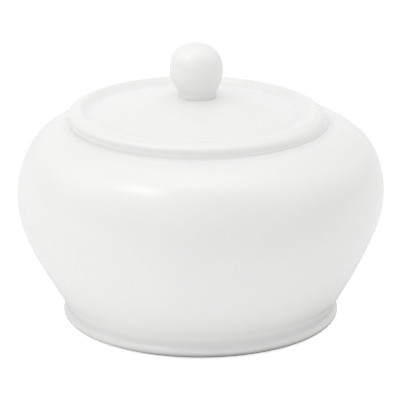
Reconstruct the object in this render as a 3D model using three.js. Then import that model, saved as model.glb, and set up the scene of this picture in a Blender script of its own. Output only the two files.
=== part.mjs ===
// Lidded sugar bowl in white glazed porcelain: a squat round bowl on a rolled
// foot with a low seat round the mouth, a loose lid with a raised rim and a
// locating flange, and a ball knob luted to the lid.
//
// Millimetres, +Z up. The origin is on the bowl's axis, in the plane the foot
// stands on. Each piece is a solid of revolution, turned from a half section.
import * as THREE from 'three';

// ---- bowl sizes ---------------------------------------------------------
const BELLY_R = 60.0; // widest circle
const BELLY_Z = 43.0;
const FOOT_R = 45.3; // widest circle of the rolled foot
const FOOT_Z = 3.1;
const WAIST_R = 44.65; // soft crease above the foot roll
const WAIST_Z = 4.9;
const RING_R_IN = 39.6; // flat, unglazed standing ring
const RING_R_OUT = 41.3;
const BASE_Z = 3.2; // underside of the base, recessed inside the foot
const FLOOR_Z = 7.4; // inside floor
const LAND_Z = 66.7; // flat land round the mouth, where the lid rests
const LAND_R_IN = 35.6;
const LAND_R_OUT = 41.85;
const SEAT_R = 42.1; // side of the seat, filleted into the shoulder
const MOUTH_R = 34.5; // clear radius of the mouth

// ---- lid sizes ----------------------------------------------------------
const RIM_R = LAND_R_OUT; // the rim stands flush with the land
const CROWN_R = 38.5; // highest circle of the rim
const CROWN_Z = 70.92;
const GROOVE_R = 34.75; // narrow groove between the rim and the panel
const GROOVE_Z = 69.2;
const EDGE_R = 33.2; // rounded edge of the panel, inside the groove
const EDGE_Z = 69.75;
const PAD_R = 7.4; // flat pad in the middle that carries the knob
const PAD_Z = 75.0;
const PANEL_T = 3.6; // thickness of the panel
const DOME_POWER = 1.15; // 1 is a straight cone, more is rounder
const FLANGE_R_OUT = 32.3; // locating flange under the lid
const FLANGE_R_IN = 29.7;
const FLANGE_Z = 61.1; // lower edge
const FLANGE_ROUND_Z = 62.1; // where the rounding of the lower edge starts

// ---- knob sizes ---------------------------------------------------------
const KNOB_R = 8.75; // widest circle
const KNOB_Z = 83.4;
const KNOB_RISE = 9.25; // from the widest circle to the top
const KNOB_FULL = 2.3; // 2 is a plain ball, more is squarer
const NECK_R = 6.35; // the ball narrows to this at the lid
const KNOB_STEPS = 9; // steps from the widest circle to the top

// ---- placing ------------------------------------------------------------
const COVER_X = -1.4; // lid off the bowl's axis, within the flange's play
const KNOB_X = -0.15; // knob off the lid's middle

// ---- facets and colours -------------------------------------------------
const BODY_SEGMENTS = 52; // round the bowl and the lid
const KNOB_SEGMENTS = 36;
const BOWL_WHITE = 0xf3f2ee;
const COVER_WHITE = 0xf4f3ef;

// ---- helpers ------------------------------------------------------------
// Every outline is a list of [radius, height] points.
const toVectors = (outline) => outline.map(([radius, z]) => new THREE.Vector2(radius, z));

// smooth run through the given points, resampled in equal parameter steps
function smooth(steps, outline) {
  const curve = new THREE.SplineCurve(toVectors(outline));
  return curve.getPoints(steps).map((point) => point.toArray());
}

function porcelain(name, color) {
  const glaze = new THREE.MeshStandardMaterial({ color, roughness: 0.16, metalness: 0 });
  glaze.name = name;
  return glaze;
}

// turn a half section, listed anticlockwise from the axis back to the axis
function turned(name, section, segments, color) {
  const geometry = new THREE.LatheGeometry(toVectors(section), segments);
  geometry.rotateX(Math.PI / 2); // lathe axis from Y to Z
  const mesh = new THREE.Mesh(geometry, porcelain(`${name}_glaze`, color));
  mesh.name = name;
  return mesh;
}

// ---- bowl ---------------------------------------------------------------
function makeBowl() {
  const base = [[0, BASE_Z], [20, BASE_Z - 0.1], [36.0, BASE_Z - 0.2]];
  const foot = [
    ...smooth(3, [[37.2, 2.65], [38.2, 1.6], [38.85, 0.5]]),
    [RING_R_IN, 0], [RING_R_OUT, 0],
    ...smooth(8, [
      [42.3, 0.45], [43.5, 0.95], [44.5, 1.65], [45.1, 2.4],
      [FOOT_R, FOOT_Z], [45.2, 3.75], [44.9, 4.4], [WAIST_R, WAIST_Z],
    ]),
  ];
  // outside of the belly and shoulder
  const outside = smooth(19, [
    [WAIST_R, 5.7], [45.3, 7.4], [49.0, 13.85], [53.08, 21.1], [56.51, 28.4], [59.04, 35.7],
    [BELLY_R, BELLY_Z],
    [59.0, 50.3], [56.05, 57.5], [52.2, 61.75], [47.3, 64.65], [44.2, 65.6],
  ]);
  // fillet up the side of the seat, and its rounded edge
  const seat = smooth(4, [[43.1, 65.82], [42.45, 66.0], [SEAT_R, 66.35], [LAND_R_OUT, LAND_Z]]);
  // rounded edge of the mouth
  const lip = smooth(4, [
    [LAND_R_IN, LAND_Z], [34.85, 66.45], [MOUTH_R, 65.6], [34.6, 64.5], [35.5, 63.75],
  ]);
  // inside wall down to the floor
  const inside = smooth(13, [
    [38.4, 63.3], [42.9, 62.2], [47.5, 60.0], [51.6, 56.6], [55.0, 50.3], [56.2, BELLY_Z],
    [55.25, 35.7], [52.5, 28.4], [48.9, 21.1], [44.7, 13.9], [41.4, 10.2], [36.3, 8.1],
    [29.0, FLOOR_Z],
  ]);
  const section = [...base, ...foot, ...outside, ...seat, ...lip, ...inside, [0, FLOOR_Z]];
  return turned('bowl', section, BODY_SEGMENTS, BOWL_WHITE);
}

// ---- lid ----------------------------------------------------------------
// height of the gently domed panel's top, between its edge and the pad
function panelTop(radius) {
  const outward = Math.max(0, (radius - PAD_R) / (EDGE_R - PAD_R));
  return EDGE_Z + (PAD_Z - EDGE_Z) * (1 - Math.pow(outward, DOME_POWER));
}

function makeLid() {
  const underside = [0, 9, 18, 27].map((radius) => [radius, panelTop(radius) - PANEL_T]);
  const flange = [
    ...smooth(3, [[28.9, 66.2], [29.5, 65.6], [FLANGE_R_IN, 64.7]]),
    ...smooth(4, [
      [FLANGE_R_IN, FLANGE_ROUND_Z], [30.1, 61.45],
      [(FLANGE_R_IN + FLANGE_R_OUT) / 2, FLANGE_Z],
      [31.9, 61.45], [FLANGE_R_OUT, FLANGE_ROUND_Z],
    ]),
    ...smooth(3, [[FLANGE_R_OUT, 66.0], [32.55, 66.6], [33.2, LAND_Z]]),
  ];
  // upright side, rounded corner, then the slope up to the crown
  const rim = [
    [41.3, LAND_Z], [41.72, 67.0],
    ...smooth(8, [
      [RIM_R, 67.6], [RIM_R, 68.2], [41.68, 68.8], [41.3, 69.38], [40.75, 69.9],
      [39.5, 70.7], [CROWN_R, CROWN_Z],
    ]),
  ];
  // down from the crown, through the groove, to the edge of the panel
  const groove = smooth(8, [
    [CROWN_R, CROWN_Z], [37.6, 70.72], [36.7, 70.3], [35.9, 69.8], [35.3, 69.38],
    [GROOVE_R, GROOVE_Z], [34.2, 69.38], [EDGE_R, EDGE_Z],
  ]).slice(1); // the rim already ends on the crown
  const panel = [30, 25, 19.5, 14, 10, PAD_R, 0].map((radius) => [radius, panelTop(radius)]);
  const section = [...underside, ...flange, ...rim, ...groove, ...panel];
  return turned('lid', section, BODY_SEGMENTS, COVER_WHITE);
}

// ---- knob ---------------------------------------------------------------
function makeKnob() {
  const lower = smooth(6, [[6.4, 75.7], [6.68, 76.9], [7.32, 78.4], [7.95, 79.8], [8.52, 81.3]]);
  // superellipse from the widest circle almost to the top
  const upper = [];
  const power = 2 / KNOB_FULL;
  for (let i = 0; i < KNOB_STEPS; i++) {
    const angle = THREE.MathUtils.degToRad((90 / KNOB_STEPS) * i);
    upper.push([
      KNOB_R * Math.pow(Math.cos(angle), power),
      KNOB_Z + KNOB_RISE * Math.pow(Math.sin(angle), power),
    ]);
  }
  const section = [[0, PAD_Z], [NECK_R, PAD_Z], ...lower, ...upper, [0, KNOB_Z + KNOB_RISE]];
  const knob = turned('knob', section, KNOB_SEGMENTS, COVER_WHITE);
  knob.position.x = KNOB_X;
  return knob;
}

// ---- assembly -----------------------------------------------------------
// the lid and its knob lift off together
const cover = new THREE.Group();
cover.name = 'cover';
cover.position.x = COVER_X;
cover.add(makeLid(), makeKnob());

const sugarBowl = new THREE.Group();
sugarBowl.name = 'sugar_bowl';
sugarBowl.add(makeBowl(), cover);

export default sugarBowl;
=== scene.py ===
"""Looks for a lidded porcelain sugar bowl: three turned pieces (bowl, lid, knob) about
upright axes near the origin, standing on a white floor at z = 0 in soft studio light.
The front, the camera's side, is -Y. The scene is in metres, the sections in millimetres."""
import math

import bmesh
import bpy
import numpy as np
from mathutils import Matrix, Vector


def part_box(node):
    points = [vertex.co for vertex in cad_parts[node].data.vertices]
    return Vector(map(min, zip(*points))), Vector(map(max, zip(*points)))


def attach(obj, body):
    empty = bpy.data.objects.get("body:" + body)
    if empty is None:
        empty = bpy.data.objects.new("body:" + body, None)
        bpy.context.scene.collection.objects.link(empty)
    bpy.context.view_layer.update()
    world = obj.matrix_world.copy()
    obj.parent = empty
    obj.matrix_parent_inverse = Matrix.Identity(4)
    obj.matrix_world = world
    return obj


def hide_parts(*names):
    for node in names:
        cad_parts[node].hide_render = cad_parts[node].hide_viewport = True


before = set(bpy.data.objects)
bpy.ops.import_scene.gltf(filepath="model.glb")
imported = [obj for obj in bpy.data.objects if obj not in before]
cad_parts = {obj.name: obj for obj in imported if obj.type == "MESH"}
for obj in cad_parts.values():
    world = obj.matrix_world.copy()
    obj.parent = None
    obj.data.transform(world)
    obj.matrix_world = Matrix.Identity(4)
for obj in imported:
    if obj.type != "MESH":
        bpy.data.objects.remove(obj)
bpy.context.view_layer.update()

MM = 0.001
SCENE = bpy.context.scene

# ---------------------------------------------------------------- sizes, mm
bowl_lo, bowl_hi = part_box("bowl")
lid_lo, lid_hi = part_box("lid")
knob_lo, knob_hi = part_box("knob")

LAND_Z = bowl_hi.z / MM  # the flat seat round the mouth, which the lid rests on
BELLY_R = bowl_hi.x / MM
SEAT_R = 42.22  # outer edge of the seat
SEAT_X = -0.75  # where the middle of the seat has moved to

LID_X = 0.5 * (lid_lo.x + lid_hi.x) / MM
LID_R = 0.5 * (lid_hi.x - lid_lo.x) / MM
FLANGE_Z = lid_lo.z / MM  # bottom of the ring that hangs inside the mouth
FLANGE_IN_R, FLANGE_OUT_R = 29.7, 32.3
FLANGE_TIP_Z = FLANGE_Z + 1.2  # where its rounded tip begins
CROWN_R, CROWN_Z = 38.5, LAND_Z + 4.1  # top of the lid's raised rim
GROOVE_R, GROOVE_Z = 34.75, LAND_Z + 2.5  # hollow inside the rim
EDGE_R, EDGE_Z = 33.2, LAND_Z + 3.05  # low edge of the sloping panel
PANEL_R = 31.6  # where the panel's plain slope begins
PAD_R, PAD_Z = 7.4, lid_hi.z / MM  # flat pad under the knob
PANEL_THICK = 3.6

KNOB_X = 0.5 * (knob_lo.x + knob_hi.x) / MM
KNOB_R = 0.5 * (knob_hi.x - knob_lo.x) / MM
KNOB_Z = PAD_Z + 8.4  # height of the knob's widest circle
KNOB_RISE = knob_hi.z / MM - KNOB_Z
NECK_R = 6.42


# ---------------------------------------------------------------- section curves
def spline(points, step):
    """Natural cubic with centripetal spacing, sampled about every step mm."""
    points = np.array(points, float)
    chords = np.sqrt((np.diff(points, axis=0) ** 2).sum(1))
    gaps = np.diff(np.concatenate([[0], np.cumsum(np.sqrt(chords))]))
    count = len(points)
    matrix = np.zeros((count, count))
    target = np.zeros((count, 2))
    matrix[0, 0] = matrix[-1, -1] = 1
    for i in range(1, count - 1):
        before, after = gaps[i - 1], gaps[i]
        matrix[i, i - 1 : i + 2] = before, 2 * (before + after), after
        target[i] = 6 * (
            (points[i + 1] - points[i]) / after - (points[i] - points[i - 1]) / before
        )
    second = np.linalg.solve(matrix, target)  # second derivatives at the points
    out = []
    for i, gap in enumerate(gaps):
        pieces = max(1, int(round(chords[i] / step)))
        for j in range(pieces):
            done = gap * j / pieces
            left = gap - done
            out.append(
                (second[i] * left**3 + second[i + 1] * done**3) / (6 * gap)
                + (points[i] / gap - second[i] * gap / 6) * left
                + (points[i + 1] / gap - second[i + 1] * gap / 6) * done
            )
    out.append(points[-1])
    return [tuple(point) for point in out]


def line(start, end, step):
    pieces = max(1, int(round(math.dist(start, end) / step)))
    return [
        tuple(a + (b - a) * i / pieces for a, b in zip(start, end)) for i in range(pieces + 1)
    ]


def above(base, points):
    """Raises (radius, height) points by base."""
    return [(r, base + z) for r, z in points]


def chain(*runs):
    """Joins (finish, points) runs; a repeated joint point is kept once."""
    points, finishes = [], []
    for finish, run in runs:
        for point in run:
            if points and math.dist(points[-1], point) < 0.03:
                continue
            points.append(point)
            finishes.append(finish)
    return np.array(points, float), finishes


# ---------------------------------------------------------------- half sections
# (radius, height) in mm, from the axis on the underside, out and up the outside, and
# back to the axis on top. Each run's finish is the index of its material slot.
GLAZE, BARE = 0, 1


def bowl_profile():
    foot_inside = [(34.3, 3.0), (36.1, 2.92), (37.4, 2.4), (38.2, 1.6), (38.85, 0.55)]
    foot_outside = [
        (41.9, 0.25), (42.7, 0.46), (43.6, 0.78), (44.47, 1.3), (45.07, 1.97),
        (45.3, 2.65), (45.24, 3.2), (44.96, 3.68), (44.62, 4.05), (44.46, 4.42),
        (44.56, 4.96), (44.9, 6.05), (45.62, 8.0),
    ]
    belly = [
        (45.62, 8.0), (49.0, 13.85), (53.08, 21.1), (56.51, 28.4), (59.04, 35.7),
        (BELLY_R, 43.0), (59.0, 50.3), (56.05, 57.5), (52.2, 61.75), (47.3, 64.65),
        (44.2, 65.6),
    ]
    seat_edge = [(44.2, 65.6)] + above(LAND_Z, [
        (43.6, -0.96), (43.05, -0.86), (42.65, -0.66), (42.42, -0.4), (42.28, -0.12),
        (SEAT_R, 0),
    ])
    lip = above(LAND_Z, [
        (35.7, 0), (35.15, -0.18), (34.65, -0.7), (34.5, -1.4), (34.75, -2.3), (35.5, -2.95),
    ])
    inside = lip[-1:] + [
        (38.4, 63.2), (42.9, 62.0), (47.5, 59.8), (51.6, 56.5), (55.0, 50.3), (56.2, 43.0),
        (55.25, 35.7), (52.5, 28.4), (48.9, 21.1), (44.7, 13.9), (41.4, 10.2), (36.3, 8.1),
        (29.0, 7.4),
    ]
    return chain(
        (GLAZE, line((0, 3.2), (20, 3.1), 2.0)),
        (GLAZE, line((20, 3.1), (34.3, 3.0), 1.5)),
        (GLAZE, spline(foot_inside, 0.25)),
        # the standing ring
        (BARE, spline([(38.85, 0.55), (39.1, 0.2), (39.6, 0.0)], 0.15)),
        (BARE, line((39.6, 0), (41.2, 0), 0.3)),
        (BARE, spline([(41.2, 0), (41.5, 0.06), (41.9, 0.25)], 0.12)),
        (GLAZE, spline(foot_outside, 0.2)),
        (GLAZE, spline(belly, 0.8)),
        (GLAZE, spline(seat_edge, 0.12)),
        (BARE, line((42.1, LAND_Z), (35.7, LAND_Z), 0.5)),
        (GLAZE, spline(lip, 0.2)),
        (GLAZE, spline(inside, 1.0)),
        (GLAZE, line((29.0, 7.4), (0, 7.4), 1.8)),
    )


def panel_top(r):
    """Height of the lid's panel, sloping from the pad down to its edge."""
    run = (r - PAD_R) / (EDGE_R - PAD_R)
    return EDGE_Z + (PAD_Z - EDGE_Z) * (1 - run**1.15)


def lid_profile():
    underside = [
        (0, PAD_Z - PANEL_THICK),
        *((r, panel_top(r) - PANEL_THICK) for r in (9, 18, 27)),
        *above(LAND_Z, [(28.9, -0.65), (29.55, -1.5), (FLANGE_IN_R, -2.4)]),
    ]
    flange_tip = [
        (FLANGE_IN_R, FLANGE_TIP_Z),
        *above(FLANGE_Z, [(29.85, 0.6), (30.3, 0.15), (31.0, 0), (31.7, 0.15), (32.15, 0.6)]),
        (FLANGE_OUT_R, FLANGE_TIP_Z),
    ]
    rim = [
        *above(LAND_Z, [
            (SEAT_R, 0), (42.1, 0.4), (LID_R + 0.08, 0.85), (LID_R, 1.5), (LID_R - 0.1, 2.1),
            (LID_R - 0.42, 2.72), (LID_R - 0.98, 3.2), (LID_R - 1.75, 3.6), (LID_R - 2.5, 3.9),
        ]),
        *above(CROWN_Z, [(CROWN_R, 0), (37.6, -0.13), (36.75, -0.56), (36.0, -1.0)]),
        *above(GROOVE_Z, [
            (35.35, 0.3), (GROOVE_R, 0.12), (34.15, 0.1), (33.55, 0.24), (32.95, 0.44),
        ]),
        (32.3, panel_top(32.3) - 0.05),
        (PANEL_R, panel_top(PANEL_R)),
    ]
    corner = above(LAND_Z, [(FLANGE_OUT_R, -0.9), (32.5, -0.3), (33.1, 0)])
    return chain(
        (GLAZE, spline(underside, 0.7)),
        (GLAZE, line(underside[-1], flange_tip[0], 0.4)),
        (BARE, spline(flange_tip, 0.2)),
        (GLAZE, line(flange_tip[-1], corner[0], 0.5)),
        (BARE, spline(corner, 0.2)),
        (BARE, line(corner[-1], (42.0, LAND_Z), 0.6)),
        (GLAZE, spline(rim, 0.15)),
        (GLAZE, [(r, panel_top(r)) for r in np.arange(PANEL_R, 7.6, -0.6)]),
        (GLAZE, line((PAD_R, PAD_Z), (0, PAD_Z), 0.8)),
    )


def knob_profile():
    neck = above(PAD_Z, [
        (NECK_R, 0), (6.38, 0.3), (6.42, 0.8), (6.68, 1.9), (7.32, 3.4), (7.95, 4.8), (8.52, 6.3),
    ])
    fullness = 2 / 2.3  # below 1 is fuller than a round ball
    ball = [
        (
            KNOB_R * math.cos(math.radians(angle)) ** fullness,
            KNOB_Z + KNOB_RISE * math.sin(math.radians(angle)) ** fullness,
        )
        for angle in np.linspace(0, 90, 46)
    ]
    return chain(
        (GLAZE, line((0, PAD_Z), (NECK_R, PAD_Z), 0.6)),
        (GLAZE, spline(neck + [(KNOB_R, KNOB_Z)], 0.2)),
        (GLAZE, ball),
    )


# ---------------------------------------------------------------- departures from true
# Each shape function takes a point's angle, radius and height and the piece's centre x,
# and gives its shifts (outwards, x, y, z) in mm. Angle 0 is +X and 90 degrees the back.
TILT = 0.008  # slope of the mouth, half a degree down to +X; the lid follows it
FORE = 0.013  # and a little more down to the front


def ease(lo, hi, value):
    t = min(1.0, max(0.0, (value - lo) / (hi - lo)))
    return t * t * (3 - 2 * t)


def bump_at(z, middle, width):
    return math.exp(-(((z - middle) / width) ** 2))


def tilted(theta, r, z, middle_x):
    """The x, y and z shifts that lay a point in the mouth's sloping plane."""
    rise = z - LAND_Z
    dz = FORE * r * math.sin(theta) - TILT * (middle_x + r * math.cos(theta))
    return TILT * rise, -FORE * rise, dz


def bowl_shape(theta, r, z, centre_x):
    """A faint oval, a faint lean, a mouth a little out of level, and a seat drawn
    over towards where the lid has settled."""
    wall = np.clip(z / 30.0, 0, 1) * np.clip((66.0 - z) / 9.0, 0, 1)
    oval = 0.08 * wall * math.cos(2 * theta + 0.6)
    ripple = 0.03 * wall * math.cos(5 * theta + 1.9)
    dx = 0.42 * bump_at(z, middle=57.0, width=9.0) - 0.42 * bump_at(z, middle=27.0, width=11.0)
    dx += SEAT_X * ease(LAND_Z - 1.05, LAND_Z - 0.05, z) * ease(37.0, 40.5, r)
    slope = FORE * math.sin(theta) - TILT * math.cos(theta)
    return oval + ripple, dx, 0.0, ease(46.0, 64.0, z) * r * slope


def lid_shape(theta, r, z, centre_x):
    """The foot of the rim has slumped over to stand on the seat; the crown leans off it."""
    slump = (SEAT_X - centre_x) * (1 - ease(67.2, 69.5, z)) * ease(37.0, 40.5, r)
    dx, dy, dz = tilted(theta, r, z, centre_x + slump)
    return 0.0, dx + slump, dy, dz


def knob_shape(theta, r, z, centre_x):
    """The neck is pressed in a little on the side towards -X, and the top leans to -X."""
    low = 1 - ease(76.2, 82.0, z)
    pressed = -0.45 * low * max(0.0, -math.cos(theta)) * min(1.0, r / NECK_R_FULL)
    dx, dy, dz = tilted(theta, r, z, centre_x)
    return pressed, dx - 0.2 * ease(83.0, 92.0, z) + 0.15 * low, dy, dz


NECK_R_FULL = 6.4  # radius from which the neck is pressed in fully


# ---------------------------------------------------------------- turning
THIN_BEND, THICK_BEND = 0.5, 0.6  # bend, per mm, at which glaze is thinnest and thickest


def section_bend(points):
    """Smoothed curvature along a section, positive where the surface is convex."""
    slope = np.gradient(points, axis=0)
    length = np.hypot(slope[:, 0], slope[:, 1]) + 1e-9
    tangent = slope / length[:, None]
    turn = np.gradient(tangent, axis=0)
    bend = (tangent[:, 0] * turn[:, 1] - tangent[:, 1] * turn[:, 0]) / length
    for _ in range(3):
        bend[1:-1] = 0.25 * bend[:-2] + 0.5 * bend[1:-1] + 0.25 * bend[2:]
    return bend


def turned(name, profile, segments, centre_x, shape):
    """Turns a half section into a closed mesh. Two point attributes tell the glaze
    where it is thick, in a hollow, and thin, over an edge."""
    points, finishes = profile
    bends = section_bend(points)
    bm = bmesh.new()
    thin = bm.verts.layers.float.new("thin_glaze")
    thick = bm.verts.layers.float.new("thick_glaze")
    rings = []
    for (r, z), bend in zip(points, bends):
        if r < 0.02:  # a single point on the axis
            _, dx, dy, dz = shape(0.0, 0.0, z, centre_x)
            rings.append([bm.verts.new(((centre_x + dx) * MM, dy * MM, (z + dz) * MM))])
            continue
        ring = []
        for k in range(segments):
            theta = 2 * math.pi * k / segments
            dr, dx, dy, dz = shape(theta, r, z, centre_x)
            vert = bm.verts.new((
                (centre_x + dx + (r + dr) * math.cos(theta)) * MM,
                (dy + (r + dr) * math.sin(theta)) * MM,
                (z + dz) * MM,
            ))
            vert[thin] = float(np.clip(bend / THIN_BEND, 0, 1))
            vert[thick] = float(np.clip(-bend / THICK_BEND, 0, 1))
            ring.append(vert)
        rings.append(ring)
    for i in range(len(rings) - 1):
        a, b = rings[i], rings[i + 1]
        for k in range(segments):
            j = (k + 1) % segments
            if len(a) == 1:
                corners = (a[0], b[k], b[j])
            elif len(b) == 1:
                corners = (a[k], b[0], a[j])
            else:
                corners = (a[k], b[k], b[j], a[j])
            face = bm.faces.new(corners)
            face.smooth = True
            face.material_index = finishes[i] if finishes[i] == finishes[i + 1] else GLAZE
    bmesh.ops.recalc_face_normals(bm, faces=bm.faces)
    mesh = bpy.data.meshes.new(name)
    bm.to_mesh(mesh)
    bm.free()
    obj = bpy.data.objects.new(name, mesh)
    SCENE.collection.objects.link(obj)
    return obj


bowl = turned("bowl_porcelain", bowl_profile(), 240, 0.0, bowl_shape)
lid = turned("lid_porcelain", lid_profile(), 224, LID_X, lid_shape)
knob = turned("knob_porcelain", knob_profile(), 112, KNOB_X, knob_shape)
for piece, node, body in ((bowl, "bowl", "bowl"), (lid, "lid", "lid"), (knob, "knob", "lid")):
    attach(piece, body)
    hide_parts(node)


# ---------------------------------------------------------------- node helper
def toward(azimuth, elevation=0):
    """Unit vector; azimuth 0 is the camera's side and 90 is +X, in degrees."""
    a, e = math.radians(azimuth), math.radians(elevation)
    return math.sin(a) * math.cos(e), -math.cos(a) * math.cos(e), math.sin(e)


class Nodes:
    """Builds the node tree of a material or world, in order."""

    def __init__(self, owner):
        owner.use_nodes = True
        self.tree = owner.node_tree
        self.tree.nodes.clear()

    def feed(self, socket, value):
        if isinstance(value, bpy.types.NodeSocket):
            self.tree.links.new(value, socket)
        else:
            socket.default_value = value

    def add(self, kind, *ordered, props=None, **named):
        """Adds a node, its inputs given in order or by name, with _ for a space."""
        node = self.tree.nodes.new(kind)
        for key, value in (props or {}).items():
            setattr(node, key, value)
        for index, value in enumerate(ordered):
            self.feed(node.inputs[index], value)
        for key, value in named.items():
            self.feed(node.inputs[key.replace("_", " ")], value)
        return node

    def math(self, op, a, b):
        return self.add("ShaderNodeMath", a, b, props={"operation": op}).outputs[0]

    def vector(self, op, *vectors, output="Vector"):
        node = self.add("ShaderNodeVectorMath", *vectors, props={"operation": op})
        return node.outputs[output]

    def mix(self, amount, under, over):
        node = self.add("ShaderNodeMix", props={"data_type": "RGBA"})
        for index, value in ((0, amount), (6, under), (7, over)):
            self.feed(node.inputs[index], value)
        return node.outputs[2]

    def remap(self, value, over, to, smooth=False):
        """Maps the range over to the range to, clamped."""
        props = {"interpolation_type": "SMOOTHSTEP" if smooth else "LINEAR"}
        return self.add("ShaderNodeMapRange", value, *over, *to, props=props).outputs[0]

    def facing(self, vector, azimuth, elevation=0):
        return self.vector("DOT_PRODUCT", vector, toward(azimuth, elevation), output="Value")

    def lobe(self, vector, azimuth, elevation, falloff, radiance):
        """A soft bright patch in one direction."""
        toward_it = self.math("MAXIMUM", self.facing(vector, azimuth, elevation), 0.0)
        return self.math("MULTIPLY", self.math("POWER", toward_it, falloff), radiance)

    def locate(self, offset):
        """Sets where textures are read; gives the object coordinates."""
        where = self.add("ShaderNodeTexCoord").outputs["Object"]
        self.place = self.vector("ADD", where, offset)
        return where

    def noise(self, scale, detail=2.0, rough=0.5):
        return self.add(
            "ShaderNodeTexNoise", Vector=self.place, Scale=scale, Detail=detail, Roughness=rough
        ).outputs[0]

    def spots(self, scale, radii, channel, cutoff):
        """Dots fading between two radii, in the few cells whose random value is over cutoff."""
        cell = self.add(
            "ShaderNodeTexVoronoi", props={"feature": "F1"},
            Vector=self.place, Scale=scale, Randomness=1.0,
        )
        near = self.remap(cell.outputs["Distance"], over=radii, to=(1.0, 0.0))
        split = self.add("ShaderNodeSeparateColor", Color=cell.outputs["Color"])
        return self.math("MULTIPLY", near, self.math("GREATER_THAN", split.outputs[channel], cutoff))


# ---------------------------------------------------------------- materials
WHITE = (1, 1, 1, 1)
GLAZE_COOL, GLAZE_WARM = (0.858, 0.858, 0.852), (0.874, 0.873, 0.865)
GLAZE_MOTTLE = (0.82, 0.825, 0.82)
POOLED, WORN_EDGE = (0.76, 0.785, 0.785, 1), (0.885, 0.872, 0.845, 1)
# the black mixed in over the foot is painted shade
PAINTED_FOOT_SHADE, IRON = (0.02, 0.02, 0.02, 1), (0.46, 0.39, 0.31, 1)
CLAY_DARK, CLAY_LIGHT = (0.80, 0.785, 0.755, 1), (0.84, 0.83, 0.805, 1)
CLAY_GRAIN = (0.66, 0.635, 0.59, 1)


def glaze_material(name, seed, tone):
    """Clear gloss glaze over white porcelain: slightly uneven in tone, cool where it
    pools, thin and a little warmer over edges, with a soft orange peel and fine wear,
    and painted shade greying the foot."""
    material = bpy.data.materials.new(name)
    n = Nodes(material)
    where = n.locate(offset=(seed * 0.37, seed * 0.61, seed * 0.23))
    thin = n.add("ShaderNodeAttribute", props={"attribute_name": "thin_glaze"}).outputs["Fac"]
    thick = n.add("ShaderNodeAttribute", props={"attribute_name": "thick_glaze"}).outputs["Fac"]

    def toned(colour):
        return (*(channel * tone for channel in colour), 1)

    # tone: two near-whites drifting over 30 mm, a finer mottle over 3 mm
    drift = n.remap(n.noise(scale=34.0, detail=3.0), over=(0.35, 0.65), to=(0.0, 1.0))
    base = n.mix(drift, toned(GLAZE_COOL), toned(GLAZE_WARM))
    mottle = n.noise(scale=330.0, detail=3.0, rough=0.6)
    base = n.mix(n.remap(mottle, over=(0.3, 0.7), to=(0.0, 0.10)), base, toned(GLAZE_MOTTLE))
    base = n.mix(n.math("MULTIPLY", thick, 0.16), base, POOLED)
    base = n.mix(n.math("MULTIPLY", thin, 0.22), base, WORN_EDGE)

    # painted shade: a little greyer over the foot, standing in for the shade under the belly
    height = n.add("ShaderNodeSeparateXYZ", Vector=where).outputs["Z"]
    base = n.mix(n.remap(height, over=(0.0056, 0.0080), to=(0.072, 0.0)), base, PAINTED_FOOT_SHADE)

    # a few faint iron specks, about half a millimetre across
    speck = n.spots(scale=120.0, radii=(0.016, 0.036), channel=0, cutoff=0.965)
    base = n.mix(n.math("MULTIPLY", speck, 0.24), base, IRON)

    # gloss: an even roughness of 0.20, with faint handling haze and rubbed edges
    haze = n.noise(scale=75.0, detail=4.0, rough=0.6)
    haze = n.remap(haze, over=(0.42, 0.72), to=(0.0, 0.035))
    fine = n.remap(n.noise(scale=1500.0), over=(0.3, 0.7), to=(-0.012, 0.012))
    rub = n.noise(scale=420.0, detail=4.0, rough=0.7)
    rub = n.math("MULTIPLY", thin, n.remap(rub, over=(0.5, 0.62), to=(0.0, 1.0)))
    rub = n.math("MULTIPLY", rub, 0.03)
    rough = n.math("ADD", n.math("ADD", n.math("ADD", 0.20, haze), fine), rub)

    # relief: orange peel about 1.5 mm, slow waves about 14 mm, rare pinholes
    peel = n.noise(scale=620.0, detail=1.5, rough=0.45)
    wave = n.noise(scale=70.0, detail=1.0, rough=0.4)
    pin = n.spots(scale=170.0, radii=(0.0, 0.035), channel=1, cutoff=0.985)
    relief = n.add("ShaderNodeBump", Height=wave, Strength=0.35, Distance=0.00012).outputs[0]
    relief = n.add(
        "ShaderNodeBump", Height=peel, Strength=0.30, Distance=0.00001, Normal=relief
    ).outputs[0]
    relief = n.add(
        "ShaderNodeBump", props={"invert": True},
        Height=pin, Strength=0.4, Distance=0.00006, Normal=relief,
    ).outputs[0]

    shader = n.add(
        "ShaderNodeBsdfPrincipled", Base_Color=base, Roughness=rough, IOR=1.52, Normal=relief,
        Coat_Weight=0.6, Coat_Roughness=0.18, Coat_IOR=1.5,
    )
    n.add("ShaderNodeOutputMaterial", shader.outputs[0])
    return material


def biscuit_material(name):
    """Bare fired clay on the standing ring and where the lid sits: matt, finely granular."""
    material = bpy.data.materials.new(name)
    n = Nodes(material)
    n.locate(offset=(0.6, 1.0, 1.4))
    drift = n.remap(n.noise(scale=60.0, detail=3.0), over=(0.35, 0.65), to=(0.0, 1.0))
    base = n.mix(drift, CLAY_DARK, CLAY_LIGHT)
    grain = n.noise(scale=900.0, detail=4.0, rough=0.7)
    base = n.mix(n.remap(grain, over=(0.55, 0.75), to=(0.0, 0.30)), base, CLAY_GRAIN)
    rough = n.remap(n.noise(scale=1200.0, detail=3.0), over=(0.3, 0.7), to=(0.68, 0.86))
    grit = n.noise(scale=2600.0, detail=4.0, rough=0.7)
    relief = n.add("ShaderNodeBump", Height=grit, Strength=0.5, Distance=0.00005).outputs[0]
    shader = n.add(
        "ShaderNodeBsdfPrincipled", Base_Color=base, Roughness=rough, IOR=1.5, Normal=relief,
        Specular_IOR_Level=0.3,
    )
    n.add("ShaderNodeOutputMaterial", shader.outputs[0])
    return material


biscuit = biscuit_material("bare_porcelain")
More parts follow.
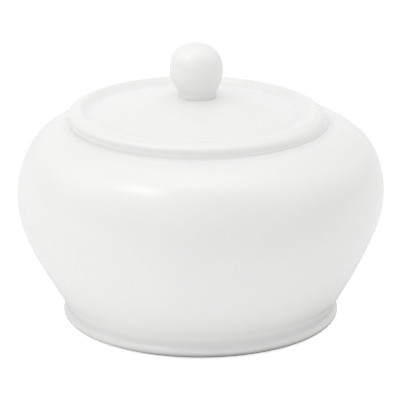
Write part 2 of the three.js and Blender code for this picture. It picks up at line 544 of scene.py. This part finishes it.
# piece, its CAD node, texture seed, tone; the knob's tone above 1 is painted light, brightening its
# glaze in place of light bounced up from the lid
for piece, node, seed, tone in (
    (bowl, "bowl", 1.0, 1.0), (lid, "lid", 3.0, 1.0), (knob, "knob", 5.0, 1.025)
):
    glaze = glaze_material(node + "_glaze", seed, tone)
    piece.data.materials.append(glaze)
    piece.data.materials.append(biscuit)
    # the CAD node stands behind the piece, in the same glaze
    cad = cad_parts[node]
    if not cad.data.materials:
        cad.data.materials.append(None)
    for slot in cad.material_slots:
        slot.material = glaze

# ---------------------------------------------------------------- floor
FLOOR_HALF = 6
FLOOR_GLOW = 0.76
# light from the floor, stronger to some sides: (azimuth, radiance)
BOUNCE = [(-15, 0.058), (-50, 0.109), (-90, 0.009), (20, 0.090), (55, 0.030), (95, 0.056)]
BOUNCE_FALLOFF = 3.0


def floor_material():
    """The porcelain sees white card with painted shade, greyer far out on the camera's side
    and darker close to the foot, with a slight glow. The camera sees it burnt out to white,
    except where the foot touches it."""
    material = bpy.data.materials.new("white_sweep")
    n = Nodes(material)
    point = n.add("ShaderNodeNewGeometry").outputs["Position"]
    flat = n.vector("MULTIPLY", point, (1, 1, 0))
    radius = n.vector("LENGTH", flat, output="Value")
    unit = n.vector("NORMALIZE", flat)

    glow = None
    for azimuth, radiance in BOUNCE:
        lobe = n.lobe(unit, azimuth, 0, BOUNCE_FALLOFF, radiance)
        glow = lobe if glow is None else n.math("ADD", glow, lobe)
    # painted shadow: the card's grey is darkened close to the bowl's foot, most towards the front
    # and right
    close = n.remap(radius, over=(0.0435, 0.0505), to=(1.0, 0.0), smooth=True)
    side = n.remap(n.facing(unit, azimuth=30), over=(0.25, 0.95), to=(0.05, 0.72), smooth=True)
    lit = n.math("SUBTRACT", 1.0, n.math("MULTIPLY", close, side))
    clear = n.remap(radius, over=(0.044, 0.058), to=(0.0, 1.0), smooth=True)
    glow = n.math("MULTIPLY", glow, clear)
    # painted shade: the card turns greyer far out on the camera's side
    grey = n.remap(n.facing(flat, azimuth=15), over=(0.09, 0.17), to=(0.86, 0.63), smooth=True)
    grey = n.math("MULTIPLY", grey, lit)
    grey = n.add("ShaderNodeCombineColor", grey, grey, grey).outputs[0]
    card = n.add("ShaderNodeBsdfDiffuse", Color=grey)
    bounce = n.add("ShaderNodeEmission", Color=WHITE, Strength=glow)
    unseen = n.add("ShaderNodeAddShader", card.outputs[0], bounce.outputs[0])
    paper = n.add("ShaderNodeBsdfDiffuse", Color=(0.86, 0.86, 0.86, 1))
    burn = n.remap(radius, over=(0.0405, 0.0419), to=(0.0, FLOOR_GLOW), smooth=True)
    burn = n.add("ShaderNodeEmission", Color=WHITE, Strength=burn)
    seen = n.add("ShaderNodeAddShader", paper.outputs[0], burn.outputs[0])
    by_camera = n.add("ShaderNodeLightPath").outputs["Is Camera Ray"]
    pick = n.add("ShaderNodeMixShader", by_camera, unseen.outputs[0], seen.outputs[0])
    n.add("ShaderNodeOutputMaterial", pick.outputs[0])
    return material


mesh = bpy.data.meshes.new("floor")
corners = [(x * FLOOR_HALF, y * FLOOR_HALF, 0) for x, y in ((-1, -1), (1, -1), (1, 1), (-1, 1))]
mesh.from_pydata(corners, [], [(0, 1, 2, 3)])
floor = bpy.data.objects.new("floor", mesh)
SCENE.collection.objects.link(floor)
mesh.materials.append(floor_material())

# ---------------------------------------------------------------- light
# A white studio: an even surround with soft brighter areas, while the camera itself
# sees plain white. Areas are (azimuth, elevation, falloff power, radiance).
SURROUND = 0.594
BACKDROP = 1.05
AREAS = [
    (0, 8, 8, 0.117), (135, 8, 8, 0.182), (180, 8, 8, 0.290), (225, 8, 8, 0.219),
    (270, 8, 8, 0.038),
    (0, 40, 10, 0.028), (120, 40, 10, 0.279), (180, 40, 10, 0.077), (240, 40, 10, 0.062),
    (270, 40, 10, 0.663), (30, 40, 10, 0.021), (300, 40, 10, 0.107), (330, 40, 10, 0.438),
    (60, 40, 10, 0.167), (90, 40, 10, 0.268),
    (0, 90, 14, 0.937), (0, 90, 4, 0.090),
]
world = bpy.data.worlds.new("studio")
SCENE.world = world
sky = Nodes(world)
direction = sky.add("ShaderNodeTexCoord").outputs["Generated"]
total = SURROUND
for area in AREAS:
    total = sky.math("ADD", sky.lobe(direction, *area), total)
ambient = sky.add("ShaderNodeBackground", Color=WHITE, Strength=total)
backdrop = sky.add("ShaderNodeBackground", Color=WHITE, Strength=BACKDROP)
by_camera = sky.add("ShaderNodeLightPath").outputs["Is Camera Ray"]
pick = sky.add("ShaderNodeMixShader", by_camera, ambient.outputs[0], backdrop.outputs[0])
sky.add("ShaderNodeOutputWorld", pick.outputs[0])

AIM = Vector((0, 0, 0.045))


def softbox(name, direction, distance, width, height, radiance):
    """Area light facing the bowl; radiance is what a mirror would show, white = 1."""
    outward = Vector(direction).normalized()
    data = bpy.data.lights.new(name, "AREA")
    data.shape = "RECTANGLE"
    data.size = width
    data.size_y = height
    data.energy = radiance * math.pi * width * height
    light = bpy.data.objects.new(name, data)
    light.location = AIM + outward * distance
    light.rotation_euler = (-outward).to_track_quat("-Z", "Y").to_euler()
    light.visible_camera = False
    SCENE.collection.objects.link(light)


softbox(
    "key", direction=(-0.462, -0.362, 0.815), distance=1.2, width=0.32, height=0.31, radiance=1.2
)
softbox(
    "key_spill", direction=(-0.490, -0.345, 0.810), distance=1.21,
    width=0.60, height=0.46, radiance=0.5,
)

# ---------------------------------------------------------------- camera
PITCH = 17.47  # degrees below level
cam = bpy.data.cameras.new("camera")
camera = bpy.data.objects.new("camera", cam)
SCENE.collection.objects.link(camera)
camera.location = (-0.00022, -0.900, 0.3227)
camera.rotation_euler = (math.radians(90 - PITCH), 0, 0)
cam.sensor_fit = "HORIZONTAL"
cam.sensor_width = 36.0
cam.lens = 259.11
cam.clip_start = 0.01
cam.clip_end = 50
SCENE.camera = camera
SCENE.view_settings.view_transform = "Standard"
SCENE.view_settings.look = "None"
